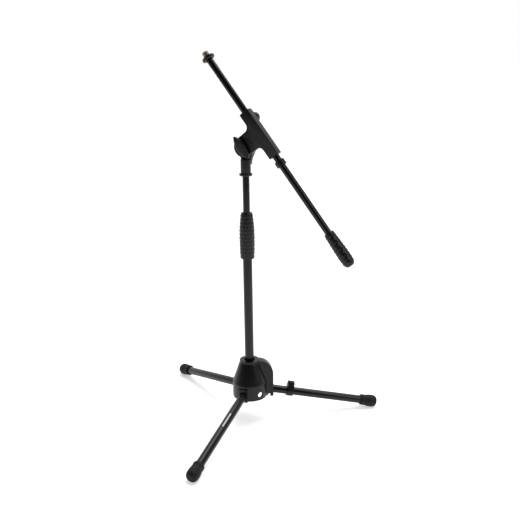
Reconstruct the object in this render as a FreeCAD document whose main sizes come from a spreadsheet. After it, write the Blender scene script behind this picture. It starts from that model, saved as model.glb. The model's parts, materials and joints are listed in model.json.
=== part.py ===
"""Boom microphone stand: folding three-leg base, sliding column, tilting boom.

Frame: millimetres, +Z up, origin on the floor under the column, +X along the right leg.
The legs stand at 0, 120 and 240 degrees. The boom and its clamp are drawn in a frame of
their own: local X runs down the boom to its hand grip, local Z away from the tilt pivot.
"""
import FreeCAD, Part
import Sketcher
import math
import os
import re

os.makedirs("parts", exist_ok=True)
doc = FreeCAD.newDocument("BoomStand")
sizes = doc.addObject("Spreadsheet::Sheet", "Sizes")

SIZES = [
    # steel tubes
    ("lower_tube_rad", 11.0), ("lower_tube_bore", 9.6), ("lower_tube_foot", 74.0),
    ("lower_tube_top", 440.0), ("upper_tube_rad", 8.0), ("upper_tube_bore", 6.8),
    ("upper_tube_foot", 200.0), ("upper_tube_top", 628.0), ("leg_rad", 10.0), ("leg_bore", 8.8),
    # clearances: a fixed fit, a running fit, and the air between parts that only pass by
    ("snug", 0.05), ("air", 0.3),
    # legs, measured from the fold pin
    ("pin_out", 26.0), ("pin_up", 76.6), ("pin_rad", 2.5), ("leg_slope", 12.18),
    ("leg_start", 10.7), ("leg_end", 300.0), ("spigot_end", 48.0),
    ("ear_rad", 8.0), ("ear_gap", 12.3), ("ear_thick", 4.0),
    ("tongue_wide", 12.0), ("socket_wide", 21.6), ("socket_back", 8.7), ("socket_face", 18.3),
    ("socket_low", 20.6), ("socket_high", 13.2),
    # rubber foot
    ("foot_start", 263.0), ("foot_collar", 13.6), ("foot_waist", 13.1), ("foot_bulge", 15.2),
    ("foot_end", 306.0), ("foot_wall", 5.0),
    # moulded hub
    ("skirt_rad", 42.5), ("skirt_low", 58.0), ("skirt_high", 97.0), ("cone_top_rad", 25.0),
    ("collar_low", 147.0), ("collar_rad", 24.0), ("collar_high", 154.0), ("recess_rad", 13.5),
    ("recess_deep", 4.0), ("hub_wall", 3.0), ("hub_boss_rad", 15.0), ("hub_boss_low", 100.0),
    ("window_wide", 22.6), ("window_high", 91.5), ("eyelet_rad", 6.5), ("eyelet_up", 73.0),
    ("fin_thick", 27.4), ("fin_rad", 36.0), ("fin_out", 21.5), ("fin_up", 115.5),
    ("fin_tab", 55.0), ("fin_slot_in", 43.5), ("fin_slot_out", 49.0), ("fin_slot_top", 95.0),
    ("carrier_low", 70.0), ("carrier_rad", 14.0), ("screw_rad", 3.0), ("screw_head", 5.0),
    # height clutch
    ("grip_low", 413.5), ("grip_high", 524.0), ("grip_low_rad", 16.75), ("grip_mid_rad", 18.0),
    ("grip_top_rad", 13.75), ("grip_bore", 13.3), ("core_rad", 13.0), ("core_low", 425.0),
    ("core_high", 500.0), ("collet_low", 480.0), ("collet_high", 506.5), ("collet_rad", 10.5),
    ("guide_long", 16.0),
    # swivel holder
    ("ring_low", 610.0), ("ring_high", 616.0), ("ring_rad", 15.3), ("holder_rad", 11.75),
    ("holder_top", 651.0), ("stud_rad", 4.75), ("stud_top", 638.0),
    ("tilt_up", 677.0), ("disc_rad", 23.5), ("disc_thick", 12.0), ("disc_gap", 0.7),
    ("bolt_rad", 4.0), ("bolt_head", 9.0),
    # boom clamp, in the boom's own frame
    ("boom_azimuth", -34.0), ("boom_slope", 52.0), ("boom_off", 48.8), ("boom_rad", 8.0),
    ("clamp_long", 121.0), ("clamp_high", 25.0), ("clamp_thick", 21.0), ("clamp_bore", 9.0),
    ("clamp_round", 2.0), ("lock_at", -42.0), ("lock_boss", 9.0), ("lock_rad", 12.5),
    ("wing_long", 61.0), ("wing_wide", 22.0), ("wing_in", 13.0), ("wing_out", 24.0),
    # boom
    ("boom_tip", -210.5), ("boom_tail", 346.0), ("thread_rad", 7.83), ("thread_long", 12.5),
    ("tip_ring_rad", 15.0), ("tip_ring_long", 7.5), ("stop_ring_rad", 12.0),
    ("stop_ring_at", 73.8), ("stop_ring_long", 13.5), ("hand_start", 268.5), ("hand_end", 357.5),
    # cable clip on the right leg
    ("clip_at", 75.5), ("clip_long", 16.0), ("clip_rad", 13.6), ("cable_up", 19.0),
    ("cable_rad", 5.0), ("cable_wall", 2.2), ("cable_mouth", 6.0),
]
for row, (alias, amount) in enumerate(SIZES, start=1):
    sizes.set("A%d" % row, alias)
    sizes.set("B%d" % row, str(amount))
    sizes.setAlias("B%d" % row, alias)
doc.recompute()

ALIASES = {alias: "Sizes." + alias for alias, amount in SIZES}
parts = []


def size(alias):
    """Plain number held by a sheet cell."""
    return float(sizes.get(alias))


def value(expression):
    """Plain number that an expression on the sheet comes to."""
    result = sizes.evalExpression(expression)
    return float(getattr(result, "Value", result))


def named(expression):
    """Expression as other objects must write it, with the sheet's name before each alias."""
    return re.sub(r"[a-z_]+", lambda word: ALIASES.get(word.group(), word.group()), expression)


def keep(thing, label):
    """Register a finished sub-part under the name of its node."""
    thing.Label = label
    parts.append(thing)
    return thing


def place(thing, at=(0, 0, 0), azimuth=0.0, slope=0.0):
    """Turn a piece down by slope about its Y, then round Z by azimuth, then carry it to a point."""
    turn = FreeCAD.Rotation(FreeCAD.Vector(0, 0, 1), azimuth)
    dip = FreeCAD.Rotation(FreeCAD.Vector(0, 1, 0), slope)
    thing.Placement = FreeCAD.Placement(FreeCAD.Vector(*at), turn.multiply(dip))
    return thing


def new_body(label):
    return keep(doc.addObject("PartDesign::Body", label), label)


def sketch_on(body, role, lift="0"):
    """Empty sketch on one of the body's own origin planes, raised along the plane's normal."""
    sketch = body.newObject("Sketcher::SketchObject", "Outline")
    plane = [f for f in body.Origin.OriginFeatures if f.Role == role][0]
    sketch.AttachmentSupport = (plane, [""])
    sketch.MapMode = "FlatFace"
    sketch.setExpression(".AttachmentOffset.Base.z", named(lift))
    return sketch


def pin_point(sketch, line, end, corner):
    """Hold one end of a line at coordinates given by two expressions."""
    for kind, expression in zip(("DistanceX", "DistanceY"), corner):
        amount = value(expression)
        number = sketch.addConstraint(Sketcher.Constraint(kind, -1, 1, line, end, amount))
        sketch.setExpression("Constraints[%d]" % number, named(expression))


def polygon(sketch, corners):
    """Closed outline of straight lines through corners, each a pair of expressions."""
    points = [FreeCAD.Vector(value(x), value(y), 0) for x, y in corners]
    first = sketch.GeometryCount
    for start, end in zip(points, points[1:] + points[:1]):
        sketch.addGeometry(Part.LineSegment(start, end), False)
    last = first + len(points) - 1
    for line in range(first, last + 1):
        follower = line + 1 if line < last else first
        sketch.addConstraint(Sketcher.Constraint("Coincident", line, 2, follower, 1))
        pin_point(sketch, line, 1, corners[line - first])


def circle(sketch, radius, x="0", y="0"):
    """Circle with its radius and centre given by expressions."""
    centre = FreeCAD.Vector(value(x), value(y), 0)
    ring = sketch.addGeometry(Part.Circle(centre, FreeCAD.Vector(0, 0, 1), value(radius)), False)
    number = sketch.addConstraint(Sketcher.Constraint("Radius", ring, value(radius)))
    sketch.setExpression("Constraints[%d]" % number, named(radius))
    pin_point(sketch, ring, 3, (x, y))


def revolve(body, corners, axis, kind="PartDesign::Revolution"):
    """Turn an outline in the XZ plane about X (H_Axis) or Z (V_Axis), adding or cutting."""
    sketch = sketch_on(body, "XZ_Plane")
    polygon(sketch, corners)
    turned = body.newObject(kind, "Turned")
    turned.Profile = sketch
    turned.ReferenceAxis = (sketch, [axis])
    turned.Angle = 360
    return turned


def upright(label, corners):
    """Piece turned about the column: corners are (radius, height)."""
    body = new_body(label)
    revolve(body, corners, "V_Axis")
    return body


def spindle(label, corners):
    """Piece turned about local X: corners are (distance along X, radius)."""
    body = new_body(label)
    revolve(body, corners, "H_Axis")
    return body


def ring_corners(inner, outer, low, high, along_x=False):
    """Four corners of a plain tube's wall."""
    if along_x:
        return [(low, inner), (high, inner), (high, outer), (low, outer)]
    return [(inner, low), (outer, low), (outer, high), (inner, high)]


def extrude(body, sketch, length, kind="PartDesign::Pad", middle=False, back=False):
    """Pad or pocket a sketch by an expression's length, to one side or about its plane."""
    feature = body.newObject(kind, "Extruded")
    feature.Profile = sketch
    feature.setExpression("Length", named(length))
    feature.Midplane = middle
    feature.Reversed = back
    return feature


def checked_cut(body, feature):
    """Recompute and insist that a pocket or groove really removed material."""
    doc.recompute()
    before = feature.BaseFeature.Shape.Volume
    after = feature.Shape.Volume
    if not after < before - 1.0:
        raise RuntimeError("%s: %s cuts nothing" % (body.Label, feature.Name))


def pattern_round_z(body, feature, count):
    """Repeat a feature evenly round the body's own Z axis."""
    axis = [f for f in body.Origin.OriginFeatures if f.Role == "Z_Axis"][0]
    pattern = body.newObject("PartDesign::PolarPattern", "Round")
    pattern.Originals = [feature]
    pattern.Axis = (axis, [""])
    pattern.Angle = 360
    pattern.Occurrences = count
    body.Tip = pattern
    doc.recompute()
    return pattern


def primitive(kind, name, placement=None, **expressions):
    """Part primitive whose sizes are bound to the sheet."""
    shape = doc.addObject("Part::" + kind, name)
    for key, expression in expressions.items():
        shape.setExpression(key, named(expression))
    if placement is not None:
        shape.Placement = placement
    return shape


def along_y(start, x=0.0, z=0.0):
    """Placement that lays a cylinder along +Y from y = start."""
    turn = FreeCAD.Rotation(FreeCAD.Vector(1, 0, 0), -90)
    return FreeCAD.Placement(FreeCAD.Vector(x, start, z), turn)


def along_x(start, y=0.0, z=0.0):
    """Placement that lays a cylinder along +X from x = start."""
    turn = FreeCAD.Rotation(FreeCAD.Vector(0, 1, 0), 90)
    return FreeCAD.Placement(FreeCAD.Vector(start, y, z), turn)


def joined(name, shapes):
    fuse = doc.addObject("Part::MultiFuse", name)
    fuse.Shapes = shapes
    return fuse


def cut(name, base, tool):
    result = doc.addObject("Part::Cut", name)
    result.Base = base
    result.Tool = tool
    return result


# ---- hub: moulded shell over a cast leg carrier ------------------------------------------

hub = new_body("hub_shell")
revolve(hub, [
    ("0", "skirt_low"), ("skirt_rad", "skirt_low"), ("skirt_rad", "skirt_high"),
    ("cone_top_rad", "collar_low"), ("collar_rad", "collar_low"),
    ("collar_rad", "collar_high"), ("0", "collar_high"),
], "V_Axis")

# rounded fin over the right leg: a disc run into a straight-sided cheek
fin_disc = sketch_on(hub, "XZ_Plane")
circle(fin_disc, "fin_rad", "fin_out", "fin_up")
extrude(hub, fin_disc, "fin_thick", middle=True)
fin_cheek = sketch_on(hub, "XZ_Plane")
polygon(fin_cheek, [
    ("fin_out", "skirt_low"), ("fin_slot_out", "skirt_low"), ("fin_slot_out", "fin_tab"),
    ("fin_out + fin_rad", "fin_tab"), ("fin_out + fin_rad", "fin_up"), ("fin_out", "fin_up"),
])
extrude(hub, fin_cheek, "fin_thick", middle=True)

# hollow inside, leaving the boss that grips the column
hollow = revolve(hub, [
    ("0", "fin_tab - 5"), ("skirt_rad - hub_wall", "fin_tab - 5"),
    ("skirt_rad - hub_wall", "skirt_high - 1"),
    ("cone_top_rad - hub_wall + 2", "collar_low - 6"), ("hub_boss_rad", "collar_low - 6"),
    ("hub_boss_rad", "hub_boss_low"), ("0", "hub_boss_low"),
], "V_Axis", "PartDesign::Groove")
checked_cut(hub, hollow)
column_hole = revolve(hub, [
    ("0", "hub_boss_low - 2"), ("lower_tube_rad + snug", "hub_boss_low - 2"),
    ("lower_tube_rad + snug", "collar_high - recess_deep"),
    ("recess_rad", "collar_high - recess_deep"),
    ("recess_rad", "collar_high + 1"), ("0", "collar_high + 1"),
], "V_Axis", "PartDesign::Groove")
checked_cut(hub, column_hole)

# narrow see-through slot between the skirt and the outer strip of the fin
fin_slot = sketch_on(hub, "XZ_Plane")
polygon(fin_slot, [
    ("fin_slot_in", "fin_tab - 2"), ("fin_slot_out", "fin_tab - 2"),
    ("fin_slot_out", "fin_slot_top"), ("fin_slot_in", "fin_slot_top"),
])
checked_cut(hub, extrude(hub, fin_slot, "fin_thick + 4", "PartDesign::Pocket", middle=True))

# a window under each leg, open at the bottom so that the leg can swing down
window = sketch_on(hub, "YZ_Plane", "pin_out + 4")
polygon(window, [
    ("0 - window_wide / 2", "fin_tab - 5"), ("window_wide / 2", "fin_tab - 5"),
    ("window_wide / 2", "window_high"), ("0 - window_wide / 2", "window_high"),
])
window_cut = extrude(hub, window, "fin_out + fin_rad", "PartDesign::Pocket", back=True)
checked_cut(hub, window_cut)
pattern_round_z(hub, window_cut, 3)

# an eyelet through the skirt between each pair of legs
eyelet = sketch_on(hub, "YZ_Plane", "0 - pin_out")
circle(eyelet, "eyelet_rad", "0", "eyelet_up")
eyelet_cut = extrude(hub, eyelet, "pin_out", "PartDesign::Pocket")
checked_cut(hub, eyelet_cut)
pattern_round_z(hub, eyelet_cut, 3)

# ---- leg carrier: centre boss with three pairs of ears -----------------------------------

carrier_solids = [
    primitive("Cylinder", "CarrierBoss", Radius="carrier_rad",
              Height="hub_boss_low - snug - carrier_low",
              placement=FreeCAD.Placement(FreeCAD.Vector(0, 0, size("carrier_low")),
                                          FreeCAD.Rotation())),
]
carrier_holes = [
    primitive("Cylinder", "CarrierBore", Radius="lower_tube_rad + snug", Height="60",
              placement=FreeCAD.Placement(FreeCAD.Vector(0, 0, size("lower_tube_foot") - 0.05),
                                          FreeCAD.Rotation())),
    primitive("Cylinder", "CarrierScrewHole", Radius="screw_rad + snug", Height="60",
              placement=FreeCAD.Placement(FreeCAD.Vector(0, 0, 50), FreeCAD.Rotation())),
]
EAR_WEB_START = 10.0
EAR_WEB_DROP = 6.2
LEG_AZIMUTHS = {"right": 0.0, "back": 120.0, "front": 240.0}
pin_out = size("pin_out")
pin_up = size("pin_up")
ear_low_side = size("ear_gap") / 2
for name, azimuth in LEG_AZIMUTHS.items():
    turn = FreeCAD.Placement(FreeCAD.Vector(0, 0, 0),
                             FreeCAD.Rotation(FreeCAD.Vector(0, 0, 1), azimuth))
    for side in (ear_low_side, -ear_low_side - size("ear_thick")):
        web = FreeCAD.Placement(FreeCAD.Vector(EAR_WEB_START, side, pin_up - EAR_WEB_DROP),
                                FreeCAD.Rotation())
        carrier_solids.append(primitive(
            "Box", "EarWeb_" + name, turn.multiply(web), Length="pin_out - %g" % EAR_WEB_START,
            Width="ear_thick", Height="%g + ear_rad" % EAR_WEB_DROP))
        carrier_solids.append(primitive(
            "Cylinder", "Ear_" + name, turn.multiply(along_y(side, pin_out, pin_up)),
            Radius="ear_rad", Height="ear_thick"))
    carrier_holes.append(primitive(
        "Cylinder", "EarHole_" + name, turn.multiply(along_y(-20, pin_out, pin_up)),
        Radius="pin_rad + snug", Height="40"))
keep(cut("LegCarrier", joined("CarrierMass", carrier_solids),
         joined("CarrierHoles", carrier_holes)), "leg_carrier")

# ---- column --------------------------------------------------------------------------------

upright("lower_tube", ring_corners("lower_tube_bore", "lower_tube_rad",
                                   "lower_tube_foot", "lower_tube_top"))
upright("tube_plug", ring_corners("screw_rad + snug", "lower_tube_bore - snug",
                                  "lower_tube_foot", "lower_tube_foot + 20"))
upright("base_screw", [
    ("0", "carrier_low - 4"), ("screw_head", "carrier_low - 4"),
    ("screw_head", "carrier_low - snug"), ("screw_rad", "carrier_low - snug"),
    ("screw_rad", "carrier_low + 20"), ("0", "carrier_low + 20"),
])
upright("clutch_core", [
    ("lower_tube_rad + snug", "core_low"), ("core_rad", "core_low"),
    ("core_rad", "core_high - 8"), ("core_rad - 1", "core_high"),
    ("collet_rad + snug", "core_high"), ("collet_rad + snug", "collet_low"),
    ("upper_tube_rad + 0.4", "collet_low"),
    ("upper_tube_rad + 0.4", "lower_tube_top + snug"),
    ("lower_tube_rad + snug", "lower_tube_top + snug"),
])

collet = new_body("clutch_collet")
revolve(collet, ring_corners("upper_tube_rad + snug", "collet_rad",
                             "collet_low + snug", "collet_high"), "V_Axis")
slit = sketch_on(collet, "XZ_Plane")
polygon(slit, [
    ("0", "collet_low + 6"), ("collet_rad + 2", "collet_low + 6"),
    ("collet_rad + 2", "collet_high + 1"), ("0", "collet_high + 1"),
])
checked_cut(collet, extrude(collet, slit, "1.2", "PartDesign::Pocket", middle=True))

upright("height_grip", [
    ("lower_tube_rad + air", "grip_low"), ("grip_low_rad - 1", "grip_low"),
    ("grip_low_rad", "grip_low + 1.5"), ("grip_mid_rad - 0.3", "grip_low + 32"),
    ("grip_mid_rad", "grip_low + 56"), ("grip_mid_rad - 0.6", "grip_low + 72"),
    ("grip_top_rad + 1.6", "grip_high - 15"), ("grip_top_rad", "grip_high - 2"),
    ("grip_top_rad - 1.5", "grip_high"), ("upper_tube_rad + 0.5", "grip_high"),
    ("upper_tube_rad + 0.5", "collet_high + 0.7"), ("grip_bore", "collet_high + 0.7"),
    ("grip_bore", "grip_low + 4"), ("lower_tube_rad + air", "grip_low + 4"),
])
upright("upper_tube", ring_corners("upper_tube_bore", "upper_tube_rad",
                                   "upper_tube_foot", "upper_tube_top"))
upright("tube_guide", [
    ("upper_tube_bore", "upper_tube_foot - 2"), ("lower_tube_bore - snug", "upper_tube_foot - 2"),
    ("lower_tube_bore - snug", "upper_tube_foot + guide_long"),
    ("upper_tube_rad + snug", "upper_tube_foot + guide_long"),
    ("upper_tube_rad + snug", "upper_tube_foot - snug"),
    ("upper_tube_bore", "upper_tube_foot - snug"),
])
upright("column_stud", [
    ("0", "upper_tube_top - 20"), ("upper_tube_bore - snug", "upper_tube_top - 20"),
    ("upper_tube_bore - snug", "upper_tube_top"), ("stud_rad", "upper_tube_top"),
    ("stud_rad", "stud_top"), ("0", "stud_top"),
])

# ---- legs ----------------------------------------------------------------------------------

slope = size("leg_slope")


def leg_socket(label):
    """Moulded knuckle: tongue on the pin, block that fills the hub window, spigot in the tube."""
    tongue = primitive("Cylinder", "Tongue", along_y(-size("tongue_wide") / 2),
                       Radius="ear_rad - 0.4", Height="tongue_wide")
    web = primitive("Box", "TongueWeb", Length="socket_back + 1", Width="tongue_wide",
                    Height="12")
    web.Placement.Base = FreeCAD.Vector(0, -size("tongue_wide") / 2, -6)
    block = primitive("Box", "Block", Length="socket_face - socket_back", Width="socket_wide",
                      Height="socket_low + socket_high")
    block.Placement.Base = FreeCAD.Vector(size("socket_back"), -size("socket_wide") / 2,
                                          -size("socket_low"))
    dip = FreeCAD.Placement(FreeCAD.Vector(), FreeCAD.Rotation(FreeCAD.Vector(0, 1, 0), slope))
    bore = primitive("Cylinder", "TubeBore", dip.multiply(along_x(size("leg_start"))),
                     Radius="leg_rad + snug", Height="40")
    spigot = primitive("Cylinder", "Spigot", dip.multiply(along_x(size("leg_start") - 2)),
                       Radius="leg_bore - snug", Height="spigot_end - leg_start + 2")
    mass = joined("SocketMass", [tongue, web, block])
    whole = joined("SocketWhole", [cut("SocketBored", mass, bore), spigot])
    hole = primitive("Cylinder", "PinBore", along_y(-20), Radius="pin_rad + snug", Height="40")
    return keep(cut("LegSocket", whole, hole), label)


def foot_cap(label):
    """Turned rubber cap over the tube's end, ground flat where it meets the floor."""
    body = new_body(label)
    revolve(body, [
        ("foot_start", "leg_rad + snug"), ("foot_start", "foot_collar - 1"),
        ("foot_start + 1", "foot_collar"), ("foot_start + 8", "foot_collar"),
        ("foot_start + 10", "foot_waist"), ("foot_start + 20", "foot_bulge - 0.7"),
        ("foot_start + 28", "foot_bulge"), ("foot_start + 35", "foot_bulge - 0.7"),
        ("foot_start + 40", "foot_bulge - 3.4"), ("foot_end", "foot_bulge - 8"),
        ("foot_end", "0"), ("foot_end - foot_wall", "0"),
        ("foot_end - foot_wall", "leg_rad + snug"),
    ], "H_Axis")
    floor = "%s * tan(leg_slope) - pin_up / cos(leg_slope)"
    ground = sketch_on(body, "XZ_Plane")
    polygon(ground, [
        ("foot_start", floor % "foot_start"), ("foot_end + 5", floor % "(foot_end + 5)"),
        ("foot_end + 5", "0 - 40"), ("foot_start", "0 - 40"),
    ])
    checked_cut(body, extrude(body, ground, "foot_bulge * 3", "PartDesign::Pocket", middle=True))
    return body


def leg_pin(label):
    """Rivet pin with a head at each end."""
    shank_long = size("ear_gap") + 2 * size("ear_thick")
    shank = primitive("Cylinder", "PinShank", along_y(-shank_long / 2), Radius="pin_rad",
                      Height="ear_gap + 2 * ear_thick")
    heads = [primitive("Cylinder", "PinHead", along_y(start), Radius="pin_rad + 1.5", Height="1.2")
             for start in (shank_long / 2 + 0.02, -shank_long / 2 - 1.22)]
    links = [primitive("Cylinder", "PinEnd", along_y(start), Radius="pin_rad - 0.2", Height="0.1")
             for start in (shank_long / 2 - 0.04, -shank_long / 2 - 0.06)]
    return keep(joined("LegPin", [shank] + heads + links), label)


for name, azimuth in LEG_AZIMUTHS.items():
    swing = math.radians(azimuth)
    pivot = (pin_out * math.cos(swing), pin_out * math.sin(swing), pin_up)
    place(leg_pin("leg_pin_" + name), pivot, azimuth)
    place(leg_socket("leg_socket_" + name), pivot, azimuth)
    place(spindle("leg_tube_" + name, ring_corners("leg_bore", "leg_rad", "leg_start + snug",
                                                   "leg_end", along_x=True)),
          pivot, azimuth, slope)
    place(foot_cap("foot_cap_" + name), pivot, azimuth, slope)

# snap-on clip that holds the cable above the right leg
clip_start = size("clip_at") - size("clip_long") / 2
clip_mass = joined("ClipMass", [
    primitive("Cylinder", "ClipRing", along_x(clip_start), Radius="clip_rad", Height="clip_long"),
    primitive("Cylinder", "CableRing", along_x(clip_start, 0, size("cable_up")),
              Radius="cable_rad + cable_wall", Height="clip_long"),
])
clip_mouth = primitive("Box", "CableMouth", Length="clip_long + 4", Width="cable_mouth",
                       Height="12")
clip_mouth.Placement.Base = FreeCAD.Vector(clip_start - 2, -size("cable_mouth") / 2,
                                           size("cable_up"))
clip_holes = joined("ClipHoles", [
    primitive("Cylinder", "ClipBore", along_x(clip_start - 2), Radius="leg_rad + snug",
              Height="clip_long + 4"),
    primitive("Cylinder", "CableBore", along_x(clip_start - 2, 0, size("cable_up")),
              Radius="cable_rad", Height="clip_long + 4"),
    clip_mouth,
])
place(keep(cut("CableClip", clip_mass, clip_holes), "cable_clip"),
      (pin_out, 0, pin_up), 0.0, slope)

# ---- swivel holder on top of the column ------------------------------------------------------

boom_azimuth = size("boom_azimuth")
boom_slope = size("boom_slope")
tilt_pivot = (0, 0, size("tilt_up"))

upright("holder_ring", [
    ("upper_tube_rad + air", "ring_low"), ("ring_rad - 1.5", "ring_low"),
    ("ring_rad", "ring_low + 2"), ("ring_rad", "ring_high - 1"),
    ("ring_rad - 1", "ring_high"), ("upper_tube_rad + air", "ring_high"),
])

holder = new_body("swivel_holder")
revolve(holder, [
    ("upper_tube_rad + snug", "ring_high + snug"), ("holder_rad", "ring_high + snug"),
    ("holder_rad", "holder_top"), ("0", "holder_top"), ("0", "stud_top + 2"),
    ("stud_rad + snug", "stud_top + 2"), ("stud_rad + snug", "upper_tube_top + snug"),
    ("upper_tube_rad + snug", "upper_tube_top + snug"),
], "V_Axis")
cheek = sketch_on(holder, "XZ_Plane", "0 - disc_thick")
circle(cheek, "disc_rad", "0", "tilt_up")
extrude(holder, cheek, "disc_thick - disc_gap")
flare = sketch_on(holder, "XZ_Plane", "0 - disc_thick + 0.4")
polygon(flare, [
    ("0 - holder_rad + 0.6", "holder_top - 10"), ("holder_rad - 0.6", "holder_top - 10"),
    ("disc_rad * 0.86", "tilt_up - 12"), ("0 - disc_rad * 0.86", "tilt_up - 12"),
])
extrude(holder, flare, "disc_thick - disc_gap - 0.4")
bolt_hole = sketch_on(holder, "XZ_Plane", "0 - disc_thick - 2")
circle(bolt_hole, "bolt_rad + snug", "0", "tilt_up")
checked_cut(holder, extrude(holder, bolt_hole, "disc_thick + 4", "PartDesign::Pocket", back=True))
place(holder, (0, 0, 0), boom_azimuth)

bolt_start = -size("wing_out") + 2
bolt = joined("PivotBolt", [
    primitive("Cylinder", "BoltShank", along_y(bolt_start), Radius="bolt_rad",
              Height="wing_out - 2 + disc_thick + 0.5"),
    primitive("Cylinder", "BoltHead", along_y(size("disc_thick") + 0.05), Radius="bolt_head",
              Height="2.6"),
])
place(keep(bolt, "pivot_bolt"), tilt_pivot, boom_azimuth)

# ---- boom clamp --------------------------------------------------------------------------------

clamp = new_body("boom_clamp")
bar = sketch_on(clamp, "YZ_Plane")
half_thick = "clamp_thick / 2"
polygon(bar, [
    ("0 - " + half_thick, "boom_off - clamp_high / 2"), (half_thick, "boom_off - clamp_high / 2"),
    (half_thick, "boom_off + clamp_high / 2"), ("0 - " + half_thick, "boom_off + clamp_high / 2"),
])
bar_pad = extrude(clamp, bar, "clamp_long", middle=True)
doc.recompute()
long_edges = ["Edge%d" % number for number, edge in enumerate(bar_pad.Shape.Edges, start=1)
              if abs(edge.Length - size("clamp_long")) < 1e-3]
rounding = clamp.newObject("PartDesign::Fillet", "RoundedBar")
rounding.Base = (bar_pad, long_edges)
rounding.setExpression("Radius", named("clamp_round"))
doc.recompute()
disc = sketch_on(clamp, "XZ_Plane", "disc_gap")
circle(disc, "disc_rad")
extrude(clamp, disc, "disc_thick - disc_gap")
stem = sketch_on(clamp, "XZ_Plane", "disc_gap")
polygon(stem, [
    ("0 - disc_rad", "0"), ("disc_rad", "0"), ("disc_rad", "disc_rad - 4"),
    ("disc_rad + 8", "boom_off - clamp_high / 2 + 2"),
    ("0 - disc_rad - 8", "boom_off - clamp_high / 2 + 2"), ("0 - disc_rad", "disc_rad - 4"),
])
extrude(clamp, stem, "clamp_thick / 2 - disc_gap")
lock_boss = sketch_on(clamp, "XZ_Plane", "0 - clamp_thick / 2 - 3")
circle(lock_boss, "lock_boss", "lock_at", "boom_off")
extrude(clamp, lock_boss, "5")
boom_bore = sketch_on(clamp, "YZ_Plane", "0 - clamp_long")
circle(boom_bore, "clamp_bore", "0", "boom_off")
checked_cut(clamp, extrude(clamp, boom_bore, "clamp_long * 2", "PartDesign::Pocket", back=True))
tilt_hole = sketch_on(clamp, "XZ_Plane", "0 - 2")
circle(tilt_hole, "bolt_rad + snug")
checked_cut(clamp, extrude(clamp, tilt_hole, "disc_thick + 6", "PartDesign::Pocket", back=True))
lock_hole = sketch_on(clamp, "XZ_Plane", "0 - clamp_thick / 2 - 6")
circle(lock_hole, "screw_rad + snug", "lock_at", "boom_off")
checked_cut(clamp, extrude(clamp, lock_hole, "clamp_thick / 2 + 2", "PartDesign::Pocket",
                           back=True))
place(clamp, tilt_pivot, boom_azimuth, boom_slope)

boom_axis = FreeCAD.Placement(FreeCAD.Vector(*tilt_pivot), FreeCAD.Rotation(
    FreeCAD.Vector(0, 0, 1), boom_azimuth).multiply(FreeCAD.Rotation(
        FreeCAD.Vector(0, 1, 0), boom_slope))).multVec(FreeCAD.Vector(0, 0, size("boom_off")))


def on_boom(thing):
    """Seat a piece that was turned about local X on the boom's axis."""
    return place(thing, tuple(boom_axis), boom_azimuth, boom_slope)


on_boom(spindle("clamp_liner", ring_corners("boom_rad + snug", "clamp_bore - snug",
                                            "0 - clamp_long / 2 + 1", "clamp_long / 2 - 1",
                                            along_x=True)))

washer = new_body("friction_washer")
washer_ring = sketch_on(washer, "XZ_Plane", "0 - 0.5")
circle(washer_ring, "disc_rad - 3")
circle(washer_ring, "bolt_rad + 0.4")
extrude(washer, washer_ring, "1")
place(washer, tilt_pivot, boom_azimuth, boom_slope)

# wing knob: a lens-shaped paddle on a round boss
wing = new_body("wing_knob")
lens = sketch_on(wing, "XZ_Plane", "wing_in + 1.5")
half_long = size("wing_long") / 2
half_wide = size("wing_wide") / 2
upper_arc = Part.Arc(FreeCAD.Vector(-half_long, 0, 0), FreeCAD.Vector(0, half_wide, 0),
                     FreeCAD.Vector(half_long, 0, 0))
lower_arc = Part.Arc(FreeCAD.Vector(half_long, 0, 0), FreeCAD.Vector(0, -half_wide, 0),
                     FreeCAD.Vector(-half_long, 0, 0))
lens.addGeometry(upper_arc, False)
lens.addGeometry(lower_arc, False)
lens.addConstraint(Sketcher.Constraint("Coincident", 0, 2, 1, 1))
lens.addConstraint(Sketcher.Constraint("Coincident", 0, 1, 1, 2))
lens_radius = "(wing_long * wing_long / 4 + wing_wide * wing_wide / 4) / wing_wide"
for arc in (0, 1):
    number = lens.addConstraint(Sketcher.Constraint("Radius", arc, value(lens_radius)))
    lens.setExpression("Constraints[%d]" % number, named(lens_radius))
pin_point(lens, 0, 2, ("0 - wing_long / 2", "0"))
pin_point(lens, 0, 1, ("wing_long / 2", "0"))
extrude(wing, lens, "wing_out - wing_in - 1.5")
wing_boss = sketch_on(wing, "XZ_Plane", "wing_in")
circle(wing_boss, "wing_wide / 2 - 1")
extrude(wing, wing_boss, "4")
wing_bore = sketch_on(wing, "XZ_Plane", "wing_in - 1")
circle(wing_bore, "bolt_rad + 2 + snug")
checked_cut(wing, extrude(wing, wing_bore, "wing_out - wing_in - 1", "PartDesign::Pocket",
                          back=True))
place(wing, tilt_pivot, boom_azimuth, boom_slope)

wing_nut = new_body("wing_nut")
nut_ring = sketch_on(wing_nut, "XZ_Plane", "wing_in")
circle(nut_ring, "bolt_rad + 2")
circle(nut_ring, "bolt_rad + snug")
extrude(wing_nut, nut_ring, "wing_out - wing_in - 2.2")
place(wing_nut, tilt_pivot, boom_azimuth, boom_slope)

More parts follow.
